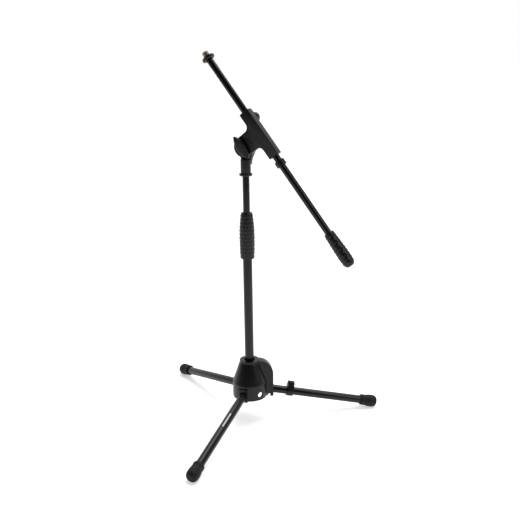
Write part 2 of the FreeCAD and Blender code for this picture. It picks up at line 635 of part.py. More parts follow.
# boom lock knob: plastic head on a steel screw
lock_face = size("clamp_thick") / 2 + 3.3
knob = joined("LockKnobMass", [
    primitive("Cylinder", "LockSkirt", along_y(lock_face), Radius="lock_rad - 3", Height="4"),
    primitive("Cylinder", "LockHead", along_y(lock_face + 3), Radius="lock_rad", Height="12"),
    primitive("Cylinder", "LockCrown", along_y(lock_face + 14), Radius="lock_rad - 2",
              Height="2.5"),
])
knob_bore = primitive("Cylinder", "LockBore", along_y(lock_face - 1), Radius="screw_rad + snug",
                      Height="11")
lock_at = FreeCAD.Vector(size("lock_at"), 0, size("boom_off"))
lock_seat = FreeCAD.Placement(FreeCAD.Vector(*tilt_pivot), FreeCAD.Rotation(
    FreeCAD.Vector(0, 0, 1), boom_azimuth).multiply(FreeCAD.Rotation(
        FreeCAD.Vector(0, 1, 0), boom_slope))).multVec(lock_at)
place(keep(cut("LockKnob", knob, knob_bore), "boom_lock_knob"), tuple(lock_seat),
      boom_azimuth, boom_slope)
lock_screw = keep(primitive("Cylinder", "LockScrew", Radius="screw_rad",
                            Height="clamp_thick / 2 + 3.3 + 9.5 - clamp_bore - 0.1"), "lock_screw")
lock_screw.Placement = FreeCAD.Placement(lock_seat, wing.Placement.Rotation).multiply(
    along_y(size("clamp_bore") + 0.1))

# ---- boom --------------------------------------------------------------------------------------

on_boom(spindle("boom_tube", ring_corners("upper_tube_bore", "boom_rad", "boom_tip", "boom_tail",
                                          along_x=True)))
on_boom(spindle("thread_adapter", [
    ("boom_tip - thread_long", "4"), ("boom_tip - snug", "4"), ("boom_tip + 22", "4"),
    ("boom_tip + 22", "upper_tube_bore - snug"), ("boom_tip - snug", "upper_tube_bore - snug"),
    ("boom_tip - snug", "thread_rad"), ("boom_tip - thread_long", "thread_rad"),
]))
on_boom(spindle("tip_ring", [
    ("boom_tip", "boom_rad + snug"), ("boom_tip", "tip_ring_rad - 1"),
    ("boom_tip + 1", "tip_ring_rad"), ("boom_tip + tip_ring_long - 2", "tip_ring_rad"),
    ("boom_tip + tip_ring_long", "tip_ring_rad - 3"),
    ("boom_tip + tip_ring_long", "boom_rad + snug"),
]))
on_boom(spindle("stop_ring", ring_corners("boom_rad + snug", "stop_ring_rad", "stop_ring_at",
                                          "stop_ring_at + stop_ring_long", along_x=True)))
on_boom(spindle("hand_grip", [
    ("hand_start", "boom_rad + snug"), ("hand_start", "11"), ("hand_start + 2", "12"),
    ("hand_start + 20", "13"), ("hand_start + 45", "14.2"), ("hand_start + 62", "14.7"),
    ("hand_start + 76", "14.3"), ("hand_end - 5", "12.3"), ("hand_end", "7.5"),
    ("hand_end", "0"), ("boom_tail + snug", "0"), ("boom_tail + snug", "boom_rad + snug"),
]))

# ---- test and write -----------------------------------------------------------------------------

doc.recompute()
faults = [thing.Label for thing in doc.Objects
          if "Invalid" in thing.State or "Error" in thing.State]
for part in parts:
    shape = part.Shape
    if shape.isNull() or not shape.isValid() or not shape.Solids:
        faults.append(part.Label)
if faults:
    raise RuntimeError("failed objects: " + ", ".join(sorted(set(faults))))
for part in parts:
    part.Shape.exportStep("parts/%s.step" % part.Label)
    box = part.Shape.BoundBox
    print("%-18s solids %d  volume %9.1f  x %.1f..%.1f  y %.1f..%.1f  z %.1f..%.1f" % (
        part.Label, len(part.Shape.Solids), part.Shape.Volume, box.XMin, box.XMax,
        box.YMin, box.YMax, box.ZMin, box.ZMax))
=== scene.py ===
"""Boom microphone stand: the visible pieces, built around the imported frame."""
import json
import math

import bmesh
import bpy
import numpy as np
from mathutils import Matrix, Vector


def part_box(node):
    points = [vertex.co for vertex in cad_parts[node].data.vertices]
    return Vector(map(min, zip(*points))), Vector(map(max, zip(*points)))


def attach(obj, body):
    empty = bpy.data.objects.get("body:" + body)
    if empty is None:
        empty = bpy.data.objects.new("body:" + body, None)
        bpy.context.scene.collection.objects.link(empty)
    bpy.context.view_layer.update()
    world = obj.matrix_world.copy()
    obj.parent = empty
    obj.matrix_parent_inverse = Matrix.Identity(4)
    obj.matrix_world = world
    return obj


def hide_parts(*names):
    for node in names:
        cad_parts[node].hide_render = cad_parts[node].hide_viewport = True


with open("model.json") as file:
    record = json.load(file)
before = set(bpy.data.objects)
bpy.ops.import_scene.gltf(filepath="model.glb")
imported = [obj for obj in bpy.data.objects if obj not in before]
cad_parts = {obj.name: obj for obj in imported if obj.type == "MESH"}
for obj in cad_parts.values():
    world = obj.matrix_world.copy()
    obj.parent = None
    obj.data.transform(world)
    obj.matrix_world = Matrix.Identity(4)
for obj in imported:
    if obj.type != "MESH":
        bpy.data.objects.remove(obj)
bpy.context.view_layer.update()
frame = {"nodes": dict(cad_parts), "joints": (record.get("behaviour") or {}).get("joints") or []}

# ---- Upper and lower column tubes ----------------------------------------------------------
# Welded steel tube, 22 mm and 16 mm across, cut to length and powder coated in semi-gloss
# black. The thin tube slides in the thick one. The coat is smooth with a faint orange peel.

MM = 0.001
UP = np.array([0.0, 0.0, 1.0])
EAST = np.array([1.0, 0.0, 0.0])
NORTH = np.array([0.0, 1.0, 0.0])
FLOOR = np.zeros(3)
COLUMN = (FLOOR, np.array([UP, EAST, NORTH]))


def linear(code):
    """Linear RGBA of an sRGB hex colour: each channel is undone from its display curve."""
    channels = [int(code[i:i + 2], 16) / 255 for i in (0, 2, 4)]
    return [c / 12.92 if c <= 0.04045 else ((c + 0.055) / 1.055) ** 2.4 for c in channels] + [1.0]


def add(tree, kind, settings=(), **links):
    """One shader node. Settings are (name, value) pairs for its inputs or properties, where an
    input may also go by its number, and links are the sockets that feed its inputs."""
    node = tree.nodes.new(kind)
    for name, value in settings:
        if isinstance(name, int) or name in node.inputs:
            node.inputs[name].default_value = value
        else:
            setattr(node, name, value)
    for name, socket in links.items():
        tree.links.new(socket, node.inputs[name.replace("_", " ")])
    return node


def finish_of(name, settings):
    """Empty material with a Principled shader wired to its output, and the shader itself."""
    material = bpy.data.materials.new(name)
    material.use_nodes = True
    shader = material.node_tree.nodes["Principled BSDF"]
    for socket, value in settings:
        shader.inputs[socket].default_value = value
    return material, material.node_tree, shader


def eased(corners, radius, steps=4, closed=False):
    """Outline with its corners rounded: each corner becomes a short parabola that leaves one
    side and meets the next at the ease radius, or at 0.45 of the side where that is shorter."""
    points = np.asarray(corners, float)
    count = len(points)
    reach = np.broadcast_to(np.asarray(radius, float), count)
    t = np.linspace(0, 1, steps + 1)[:, None]
    out = []
    for i in range(count):
        if not closed and i in (0, count - 1):
            out.append(points[i:i + 1])
            continue
        before = points[i - 1] - points[i]
        after = points[(i + 1) % count] - points[i]
        short, long = np.linalg.norm(before), np.linalg.norm(after)
        start = points[i] + before / short * min(reach[i], 0.45 * short)
        end = points[i] + after / long * min(reach[i], 0.45 * long)
        out.append((1 - t) ** 2 * start + 2 * t * (1 - t) * points[i] + t ** 2 * end)
    return np.vstack(out)


def placed(points, seat):
    """Points (..., 3) in a seat's own millimetres, carried to the row frame."""
    origin, axes = seat
    return np.asarray(points) @ axes + origin


def skin(name, grid, ring_rows=False, ring_columns=True, sharp=38):
    """Mesh of a grid of points in millimetres: neighbours join into quads, rings join last to
    first, poles and seams are merged, and edges sharper than the angle stay crisp."""
    rows, columns = grid.shape[:2]
    index = np.arange(rows * columns).reshape(rows, columns)
    if ring_rows:
        index = np.vstack([index, index[:1]])
    if ring_columns:
        index = np.hstack([index, index[:, :1]])
    quads = np.stack([index[:-1, :-1], index[1:, :-1], index[1:, 1:], index[:-1, 1:]], axis=-1)
    mesh = bpy.data.meshes.new(name)
    mesh.from_pydata((grid.reshape(-1, 3) * MM).tolist(), [], quads.reshape(-1, 4).tolist())
    piece = bpy.data.objects.new(name, mesh)
    bpy.context.scene.collection.objects.link(piece)
    return tidied(piece, sharp)


def tidied(piece, sharp=38):
    """Merge doubled points, drop faces with no area, turn every face outwards, shade smooth."""
    work = bmesh.new()
    work.from_mesh(piece.data)
    bmesh.ops.remove_doubles(work, verts=work.verts, dist=2e-6)
    bmesh.ops.dissolve_degenerate(work, edges=work.edges, dist=1e-7)
    bmesh.ops.recalc_face_normals(work, faces=work.faces)
    for face in work.faces:
        face.smooth = True
    work.to_mesh(piece.data)
    work.free()
    piece.data.set_sharp_from_angle(angle=math.radians(sharp))
    return piece


def turned(name, seat, profile, around=96, ring=False, relief=None, sharp=38):
    """Turned piece: profile points (distance along the seat's first axis, radius) swept round
    that axis, so x = along, y = r cos a, z = r sin a. Relief adds to r as a function of both."""
    profile = np.asarray(profile, float)
    angle = np.linspace(0, 2 * np.pi, around, endpoint=False)[None, :]
    along = np.repeat(profile[:, :1], around, axis=1)
    radius = np.repeat(profile[:, 1:], around, axis=1)
    if relief is not None:
        radius = radius + relief(along, angle, radius)
    grid = np.stack([along, radius * np.cos(angle), radius * np.sin(angle)], axis=-1)
    return skin(name, placed(grid, seat), ring_rows=ring, sharp=sharp)


def tube_wall(start, end, outer, inner, lip=0.6):
    """Closed profile of a tube's wall with lightly broken edges."""
    return eased([(start, inner), (end, inner), (end, outer), (start, outer)], lip, 3, closed=True)


def dress(piece, material, body, slot, *nodes):
    """Give a piece its finish and its body, and hide the frame nodes that it stands for. The slot
    is not used.
    """
    piece.data.materials.clear()
    piece.data.materials.append(material)
    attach(piece, body)
    if nodes:
        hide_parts(*nodes)
    return piece


def mm_box(node):
    """Lowest and highest corners of a frame node, in millimetres."""
    low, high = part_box(node)
    return np.array(low) / MM, np.array(high) / MM


# A colour mix has several sockets of one name, so its colours and its result go by number.
DARKER, PALER, MIXED = 6, 7, 2

# Powder coat on steel: black, semi-gloss, with orange peel about 2 mm across and a slightly
# duller sheen where hands and cloths have rubbed it.
powder_coat, tree, shader = finish_of("semi_gloss_black_powder_coat", [
    ("IOR", 1.5), ("Specular IOR Level", 0.22), ("Coat Weight", 0.2), ("Coat Roughness", 0.14)])
where = add(tree, "ShaderNodeTexCoord")
peel = add(tree, "ShaderNodeTexNoise", [("Scale", 480.0), ("Detail", 2.0)],
           Vector=where.outputs["Object"])
rubbed = add(tree, "ShaderNodeTexNoise", [("Scale", 26.0), ("Detail", 5.0), ("Roughness", 0.62)],
             Vector=where.outputs["Object"])
tone = add(tree, "ShaderNodeMix", [("data_type", "RGBA"), (DARKER, linear("060607")),
                                   (PALER, linear("0D0D10"))], Factor=rubbed.outputs["Fac"])
sheen = add(tree, "ShaderNodeMapRange", [("To Min", 0.24), ("To Max", 0.40)],
            Value=rubbed.outputs["Fac"])
skin_bump = add(tree, "ShaderNodeBump", [("Strength", 0.10), ("Distance", 0.0002)],
                Height=peel.outputs["Fac"])
tree.links.new(tone.outputs[MIXED], shader.inputs["Base Color"])
tree.links.new(sheen.outputs["Result"], shader.inputs["Roughness"])
tree.links.new(skin_bump.outputs["Normal"], shader.inputs["Normal"])

for node, body, bore in (("lower_tube", "base", 9.6), ("upper_tube", "upper_column", 6.8)):
    low, high = mm_box(node)
    tube = turned(node + "_coated", COLUMN, tube_wall(low[2], high[2], high[0], bore),
                  ring=True)
    dress(tube, powder_coat, body, "painted_steel", node)

# ---- Hub cover ---------------------------------------------------------------------------------
# One injection moulding in glass-filled nylon: a bell with a straight skirt, a round fin with
# two cheeks and a shallow groove in each, a window for each leg and an eyelet between the legs.

BELL = (FLOOR, np.array([EAST, UP, NORTH]))      # slab outlines as (x, z), thickness along y
LEG_AZIMUTHS = {"right": 0.0, "back": 120.0, "front": 240.0}
SKIRT, WALL, COLLAR_TOP = 42.5, 3.0, 154.0
FIN_HALF, GROOVE_FLOOR, TUBE_WAY, RECESS = 13.7, 12.4, 11.06, 13.5
WINDOW_HALF, WINDOW_TOP, EYELET_UP, EYELET = 11.3, 91.5, 73, 6.5


def slab(name, seat, outline, middle, low, high, ease, steps=4):
    """Slab with rounded edges: rows start as one point in the middle of a face, run to the
    outline drawn in by the ease radius, turn a quarter circle out to the rim, cross the
    thickness and come back the same way. The outline is seen whole from the middle."""
    outline = np.asarray(outline, float)
    step = np.roll(outline, -1, axis=0) - np.roll(outline, 1, axis=0)
    normal = np.stack([step[:, 1], -step[:, 0]], axis=1)
    normal /= np.linalg.norm(normal, axis=1, keepdims=True)
    outward = outline - np.asarray(middle)
    normal *= np.sign(np.median(np.sum(normal * outward, axis=1)))
    turn = np.linspace(0, np.pi / 2, steps + 1)
    inset = np.concatenate([ease * (1 - np.sin(turn)), ease * (1 - np.sin(turn[::-1]))])
    level = np.concatenate([low + ease * (1 - np.cos(turn)),
                            high - ease * (1 - np.cos(turn[::-1]))])
    rim = outline[None] - inset[:, None, None] * normal[None]
    flat = np.broadcast_to(np.asarray(middle, float), outline.shape)[None]
    plane = np.concatenate([flat, rim, flat])
    height = np.concatenate([[low], level, [high]])[:, None, None]
    grid = np.concatenate([plane, np.broadcast_to(height, plane.shape[:2] + (1,))], axis=-1)
    return skin(name, placed(grid, seat))


def carved(piece, tool, how="DIFFERENCE"):
    """Join a closed piece with a closed tool by a manifold boolean, then throw the tool away."""
    cut = piece.modifiers.new("cut", "BOOLEAN")
    cut.operation = how
    cut.solver = "MANIFOLD"
    cut.object = tool
    graph = bpy.context.evaluated_depsgraph_get()
    mesh = bpy.data.meshes.new_from_object(piece.evaluated_get(graph))
    piece.modifiers.clear()
    piece.data = mesh
    bpy.data.objects.remove(tool)
    return tidied(piece)


def about_column(azimuth, *axes):
    """The given axes turned round the column by an azimuth in degrees, as a seat at the origin."""
    c, s = math.cos(math.radians(azimuth)), math.sin(math.radians(azimuth))
    turn = np.array([[c, s, 0.0], [-s, c, 0.0], [0.0, 0.0, 1.0]])
    return FLOOR, np.array(axes) @ turn


def arc(centre, radius, first, last, count):
    """Points round a circle from one angle to another, in degrees."""
    angle = np.radians(np.linspace(first, last, count))
    return np.stack([centre[0] + radius * np.cos(angle), centre[1] + radius * np.sin(angle)], 1)


bell = eased([(58, 0), (58, SKIRT), (97, SKIRT), (147, 25.2), (147.6, 23.5), (149, 24.2),
              (COLLAR_TOP, 24.2), (COLLAR_TOP, 0)], [0, 2.4, 1.6, 0.8, 0.5, 0.5, 1.2, 0], 5)
hub = turned("hub_cover", COLUMN, bell, around=144)
fin_outline = np.vstack([
    arc((21.5, 115.5), 36.0, 0, 180, 61),
    eased([(-14.5, 110), (-14.5, 62), (49, 62), (49, 55), (57.5, 55), (57.5, 110)],
          [0, 2, 0.5, 1.5, 1.5, 0], 4),
])
carved(hub, slab("fin", BELL, fin_outline, (52, 100), -FIN_HALF, FIN_HALF, 2.2),
       "UNION")
cavity = eased([(40, 0), (40, SKIRT - WALL), (96, SKIRT - WALL), (141, 24), (141, 15),
                (100, 15), (100, 0)], [0, 1, 3, 2, 2, 1, 0], 3)
carved(hub, turned("cavity", COLUMN, cavity, around=120))
throat = [(90, 0), (90, TUBE_WAY), (150, TUBE_WAY), (150, RECESS), (160, RECESS), (160, 0)]
carved(hub, turned("throat", COLUMN, throat, around=96))
slot_outline = eased([(43.5, 40), (49, 40), (49, 96), (43.5, 96)], 2.0, 5, closed=True)
for low, high in ((-20, -GROOVE_FLOOR), (GROOVE_FLOOR, 20)):
    carved(hub, slab("groove", BELL, slot_outline, (46, 70), low, high, 0.1))
for azimuth in LEG_AZIMUTHS.values():
    across = about_column(azimuth, NORTH, UP, EAST)
    window = eased([(-WINDOW_HALF, 40), (WINDOW_HALF, 40), (WINDOW_HALF, WINDOW_TOP),
                    (-WINDOW_HALF, WINDOW_TOP)], 1.6, 5, closed=True)
    carved(hub, slab("window", across, window, (0, 70), 30, 62, 0.1))
    between = about_column(azimuth + 60, NORTH, UP, EAST)
    carved(hub, slab("eyelet", between, arc((0, EYELET_UP), EYELET, 0, 354, 48),
                     (0, EYELET_UP), 30, 50, 0.1))

# Glass-filled nylon: near black, satin, with the fine spark-eroded grain of the mould and a
# slightly greyer, rougher look where the glass comes to the surface.
satin_nylon, tree, shader = finish_of("satin_glass_filled_nylon", [
    ("IOR", 1.53), ("Specular IOR Level", 0.26)])
where = add(tree, "ShaderNodeTexCoord")
grain = add(tree, "ShaderNodeTexNoise", [("Scale", 1500.0), ("Detail", 3.0)],
            Vector=where.outputs["Object"])
flow = add(tree, "ShaderNodeTexNoise", [("Scale", 45.0), ("Detail", 4.0), ("Roughness", 0.6)],
           Vector=where.outputs["Object"])
tone = add(tree, "ShaderNodeMix", [("data_type", "RGBA"), (DARKER, linear("0A0A0B")),
                                   (PALER, linear("131315"))], Factor=flow.outputs["Fac"])
satin = add(tree, "ShaderNodeMapRange", [("To Min", 0.26), ("To Max", 0.40)],
            Value=flow.outputs["Fac"])
spark = add(tree, "ShaderNodeBump", [("Strength", 0.18), ("Distance", 0.0001)],
            Height=grain.outputs["Fac"])
tree.links.new(tone.outputs[MIXED], shader.inputs["Base Color"])
tree.links.new(satin.outputs["Result"], shader.inputs["Roughness"])
tree.links.new(spark.outputs["Normal"], shader.inputs["Normal"])
dress(hub, satin_nylon, "base", "black_plastic", "hub_shell")

# ---- Leg carrier, pins and screws inside the hub --------------------------------------------
# A die-cast core with three pairs of ears, rivet pins through the ears, and a zinc-plated
# screw up into the nylon plug that closes the column. They are seen only from below.

# Aluminium casting: dull grey with a coarse, slightly blotchy skin left by the die.
casting, tree, shader = finish_of("die_cast_aluminium", [("Metallic", 1.0)])
where = add(tree, "ShaderNodeTexCoord")
blotch = add(tree, "ShaderNodeTexNoise", [("Scale", 160.0), ("Detail", 6.0)],
             Vector=where.outputs["Object"])
tone = add(tree, "ShaderNodeMix", [("data_type", "RGBA"), (DARKER, linear("7F8083")),
                                   (PALER, linear("A2A3A5"))], Factor=blotch.outputs["Fac"])
dull = add(tree, "ShaderNodeMapRange", [("To Min", 0.42), ("To Max", 0.62)],
           Value=blotch.outputs["Fac"])
cast_bump = add(tree, "ShaderNodeBump", [("Strength", 0.3), ("Distance", 0.0003)],
                Height=blotch.outputs["Fac"])
tree.links.new(tone.outputs[MIXED], shader.inputs["Base Color"])
tree.links.new(dull.outputs["Result"], shader.inputs["Roughness"])
tree.links.new(cast_bump.outputs["Normal"], shader.inputs["Normal"])

# Zinc plate on steel: pale bluish grey, bright, with fine turning marks.
zinc, tree, shader = finish_of("zinc_plated_steel", [("Metallic", 1.0)])
where = add(tree, "ShaderNodeTexCoord")
marks = add(tree, "ShaderNodeTexNoise", [("Scale", 900.0), ("Detail", 2.0)],
            Vector=where.outputs["Object"])
tone = add(tree, "ShaderNodeMix", [("data_type", "RGBA"), (DARKER, linear("A9ABAD")),
                                   (PALER, linear("C9CACB"))], Factor=marks.outputs["Fac"])
bright = add(tree, "ShaderNodeMapRange", [("To Min", 0.22), ("To Max", 0.38)],
             Value=marks.outputs["Fac"])
tree.links.new(tone.outputs[MIXED], shader.inputs["Base Color"])
tree.links.new(bright.outputs["Result"], shader.inputs["Roughness"])

# Unfilled nylon, as used for bushes: dark, waxy and even.
bush_nylon, tree, shader = finish_of("black_bush_nylon", [("IOR", 1.53)])
where = add(tree, "ShaderNodeTexCoord")
wax = add(tree, "ShaderNodeTexNoise", [("Scale", 300.0), ("Detail", 3.0)],
          Vector=where.outputs["Object"])
tone = add(tree, "ShaderNodeMix", [("data_type", "RGBA"), (DARKER, linear("151516")),
                                   (PALER, linear("202022"))], Factor=wax.outputs["Fac"])
waxy = add(tree, "ShaderNodeMapRange", [("To Min", 0.4), ("To Max", 0.5)],
           Value=wax.outputs["Fac"])
tree.links.new(tone.outputs[MIXED], shader.inputs["Base Color"])
tree.links.new(waxy.outputs["Result"], shader.inputs["Roughness"])

HIDDEN = {
    casting: ["leg_carrier"],
    zinc: ["base_screw", "leg_pin_right", "leg_pin_back", "leg_pin_front", "column_stud",
           "lock_screw", "wing_nut", "clutch_core"],
    bush_nylon: ["tube_plug", "clutch_collet", "tube_guide", "friction_washer", "clamp_liner"],
}
for finish, nodes in HIDDEN.items():
    for node in nodes:
        frame["nodes"][node].data.materials.clear()
        frame["nodes"][node].data.materials.append(finish)

# ---- Legs: moulded sockets, steel tubes, rubber feet -------------------------------------------
# Each leg is a powder-coated tube pushed over a moulded knuckle, which swings on its pin in the
# hub window. A soft rubber cap is pushed on the far end and has worn flat where it stands.

joints = {joint["name"]: joint for joint in frame["joints"]}
LEG_SLOPE = math.radians(12.18)
TUBE_START, TUBE_END, LEG_RADIUS, LEG_BORE = 10.75, 300.0, 10.0, 8.8
FOOT_START = 263.0
KNUCKLE_HALF, KNUCKLE_LOW, KNUCKLE_HIGH = 10.8, -20.6, 13.2
leg_seats = {}

# Moulded rubber: deep black and matte, a little dusty, with a fine pebbled skin.
foot_rubber, tree, shader = finish_of("matte_black_rubber", [
    ("IOR", 1.52), ("Specular IOR Level", 0.25)])
where = add(tree, "ShaderNodeTexCoord")
pebble = add(tree, "ShaderNodeTexNoise", [("Scale", 1100.0), ("Detail", 3.0)],
             Vector=where.outputs["Object"])
dust = add(tree, "ShaderNodeTexNoise", [("Scale", 70.0), ("Detail", 6.0), ("Roughness", 0.7)],
           Vector=where.outputs["Object"])
tone = add(tree, "ShaderNodeMix", [("data_type", "RGBA"), (DARKER, linear("0B0B0C")),
                                   (PALER, linear("161617"))], Factor=dust.outputs["Fac"])
matte = add(tree, "ShaderNodeMapRange", [("To Min", 0.55), ("To Max", 0.75)],
            Value=dust.outputs["Fac"])
pebble_bump = add(tree, "ShaderNodeBump", [("Strength", 0.25), ("Distance", 0.0001)],
                  Height=pebble.outputs["Fac"])
tree.links.new(tone.outputs[MIXED], shader.inputs["Base Color"])
tree.links.new(matte.outputs["Result"], shader.inputs["Roughness"])
tree.links.new(pebble_bump.outputs["Normal"], shader.inputs["Normal"])

for name in LEG_AZIMUTHS:
    hinge = joints["leg_fold_" + name]
    pin = np.array(hinge["pos_m"]) / MM
    side = np.array(hinge["axis"])
    level = np.cross(side, UP)
    out = level * math.cos(LEG_SLOPE) - UP * math.sin(LEG_SLOPE)
    leg = leg_seats[name] = (pin, np.array([out, side, np.cross(out, side)]))
    body = "leg_" + name

    block_outline = eased([(-KNUCKLE_HALF, KNUCKLE_LOW), (KNUCKLE_HALF, KNUCKLE_LOW),
                           (KNUCKLE_HALF, KNUCKLE_HIGH), (-KNUCKLE_HALF, KNUCKLE_HIGH)],
                          1.8, 5, closed=True)
    socket = slab("leg_knuckle_" + name, (pin, np.array([side, UP, level])), block_outline,
                  (0, -3), 8.7, 18.3, 0.9)
    tongue_outline = np.vstack([arc((0, 0), 7.6, 60, 300, 40), [(10, -6.6)], [(10, 6.6)]])
    carved(socket, slab("tongue", (pin, np.array([level, UP, side])), tongue_outline, (2, 0),
                        -6, 6, 0.6), "UNION")
    bore = [(10.6, 0), (10.6, 10.05), (15.8, 10.05), (16.8, 10.6), (40, 10.6), (40, 0)]
    carved(socket, turned("bore", leg, bore, around=72))
    carved(socket, turned("spigot", leg, eased([(9, 0), (9, 8.7), (48, 8.7), (48, 0)],
                                               [0, 0, 1, 0], 3), around=72), "UNION")
    pin_hole = [(-20, 0), (-20, 2.56), (20, 2.56), (20, 0)]
    carved(socket, turned("pin_hole", (pin, np.array([side, level, UP])), pin_hole, around=40))
    dress(socket, satin_nylon, body, "black_plastic", "leg_socket_" + name)

    tube = turned("leg_tube_coated_" + name, leg,
                  tube_wall(TUBE_START, TUBE_END, LEG_RADIUS, LEG_BORE), around=80, ring=True)
    dress(tube, powder_coat, body, "painted_steel", "leg_tube_" + name)

    cap = np.array([(0, 10.06), (0, 12.9), (1.2, 13.6), (8.2, 13.6), (9.4, 13.0), (14, 13.6),
                    (21, 14.8), (28, 15.2), (34.5, 14.7), (39, 13.0), (42, 9.8), (43, 5.5),
                    (43, 0), (38.2, 0), (38.2, 10.06)]) + (FOOT_START, 0)
    foot = turned("foot_" + name, leg,
                  eased(cap, [0.3, 0.8, 0.8, 0.5, 0.8, 3, 3, 3, 3, 3, 2, 2, 0, 0, 0.2], 4),
                  ring=True, around=96)
    spots = np.empty(len(foot.data.vertices) * 3)
    foot.data.vertices.foreach_get("co", spots)
    spots = spots.reshape(-1, 3)
    spots[:, 2] = np.maximum(spots[:, 2], 0.0)      # worn flat on the floor
    foot.data.vertices.foreach_set("co", spots.ravel())
    foot.data.update()
    dress(foot, foot_rubber, body, "black_rubber", "foot_cap_" + name)

# ---- Plain white band on the front leg ---------------------------------------------------------
# A pad-printed bar of white ink, 46 mm long and 0.1 mm thick, with no lettering or mark. It is
# a closed patch of the tube's own cylinder, raised by the ink's thickness.

ink, tree, shader = finish_of("white_pad_print_ink", [("IOR", 1.5)])
where = add(tree, "ShaderNodeTexCoord")
wear_and_painted_highlight = add(tree, "ShaderNodeTexNoise", [("Scale", 500.0), ("Detail", 5.0)],
           Vector=where.outputs["Object"])
tone = add(tree, "ShaderNodeMix", [("data_type", "RGBA"), (DARKER, linear("B4B4B2")),
                                   (PALER, linear("DCDCDA"))], Factor=wear_and_painted_highlight.outputs["Fac"])
flat = add(tree, "ShaderNodeMapRange", [("To Min", 0.4), ("To Max", 0.55)],
           Value=wear_and_painted_highlight.outputs["Fac"])
tree.links.new(tone.outputs[MIXED], shader.inputs["Base Color"])
tree.links.new(flat.outputs["Result"], shader.inputs["Roughness"])

BAND_TURN, BAND_HALF = np.radians(16), np.radians(11)
INK_MIDDLE, INK_HALF = LEG_RADIUS + 0.04, 0.05
across_band = np.array([-1, -0.6, -0.2, 0.2, 0.6, 1, 1, 0.6, 0.2, -0.2, -0.6, -1])
outer_then_inner = np.array([1] * 6 + [-1] * 6)
closing = np.array([0, 1, 1, 1, 1, 1, 1, 1, 0], float)[:, None]      # each end row is one point
band_along = np.array([96, 96, 104, 112, 120, 128, 136, 142, 142], float)[:, None]
spin = BAND_TURN + closing * BAND_HALF * across_band[None]
rise = INK_MIDDLE + closing * INK_HALF * outer_then_inner[None]
band = skin("front_leg_band", placed(np.stack(np.broadcast_arrays(
    band_along, rise * np.sin(spin), rise * np.cos(spin)), axis=-1), leg_seats["front"]), sharp=60)
dress(band, ink, "leg_front", "painted_steel")

# ---- Cable clip on the right leg ---------------------------------------------------------------
# One nylon moulding: a ring that snaps on the leg's tube and a smaller open ring on top that
# takes the cable. A slab with both outlines joined by straight flanks, bored through twice.

right_pin, right_axes = leg_seats["right"]
right_out, right_side, right_up = right_axes
clip_faces = (right_pin, np.array([right_side, right_up, right_out]))
clip_low, clip_high = 67.5, 83.5
CABLE_UP, CABLE_RADIUS, MOUTH_HALF = 19, 5, 3
clip_outline = np.vstack([arc((0, 0), 13.5, 152, 388, 56), arc((0, CABLE_UP), 7.2, 10, 170, 28)])
clip = slab("cable_clip_moulded", clip_faces, clip_outline, (0, 9), clip_low, clip_high, 0.7)
before, beyond = clip_low - 5, clip_high + 5
leg_bore = [(before, 0), (before, 10.05), (beyond, 10.05), (beyond, 0)]
carved(clip, turned("leg_bore", leg_seats["right"], leg_bore, around=80))
cable_seat = (right_pin + CABLE_UP * right_up, right_axes)
cable_bore = [(before, 0), (before, CABLE_RADIUS), (beyond, CABLE_RADIUS), (beyond, 0)]
carved(clip, turned("cable_bore", cable_seat, cable_bore, around=64))
mouth = eased([(-MOUTH_HALF, CABLE_UP), (MOUTH_HALF, CABLE_UP), (MOUTH_HALF, 30),
               (-MOUTH_HALF, 30)], 0.2, 2, closed=True)
carved(clip, slab("mouth", clip_faces, mouth, (0, 24), before, beyond, 0.1))
dress(clip, satin_nylon, "cable_clip", "black_plastic", "cable_clip")

# ---- Height grip ---------------------------------------------------------------------------------
# Rubber over-moulded twist sleeve, barrel-shaped, with rows of raised oval pips. It is turned,
# and the pips are raised from its skin as domes, each row half a pitch on from the last.


def finely(points, step):
    """The same outline with points at most one step apart."""
    points = np.asarray(points, float)
    length = np.concatenate([[0], np.cumsum(np.linalg.norm(np.diff(points, axis=0), axis=1))])
    extra = np.arange(0, length[-1], step)
    place = np.unique(np.concatenate([length, extra]))
    return np.stack([np.interp(place, length, points[:, k]) for k in (0, 1)], axis=1)


def pips(first, last, rows, count, skin_radius, tall=0.85):
    """Relief of staggered oval domes, 6.8 mm round the grip and 5 mm along it. Between the
    first and last row, height = tall * (1 - (u^2 + v^2)) ^ 0.75 inside each oval, 0 outside."""
    pitch = (last - first) / (rows - 1)

    def relief(along, angle, radius):
        row = np.clip(np.round((along - first) / pitch), 0, rows - 1)
        u = (along - first - row * pitch) / 2.5
        shift = np.where(row % 2 == 0, 0.0, 0.5)
        turn = angle * count / (2 * np.pi) + shift
        v = (turn - np.round(turn)) * 2 * np.pi / count * radius / 3.4
        dome = np.maximum(1 - u ** 2 - v ** 2, 0) ** 0.75
        return np.where(radius > skin_radius, tall * dome, 0.0)

    return relief


# Over-moulded soft rubber: charcoal and matte, with a painted highlight on the raised pips, which
# are paler where the surface is most convex.
grip_rubber, tree, shader = finish_of("soft_grip_rubber", [
    ("IOR", 1.5), ("Specular IOR Level", 0.3)])
where = add(tree, "ShaderNodeTexCoord")
haze = add(tree, "ShaderNodeTexNoise", [("Scale", 900.0), ("Detail", 4.0)],
           Vector=where.outputs["Object"])
shape = add(tree, "ShaderNodeNewGeometry")
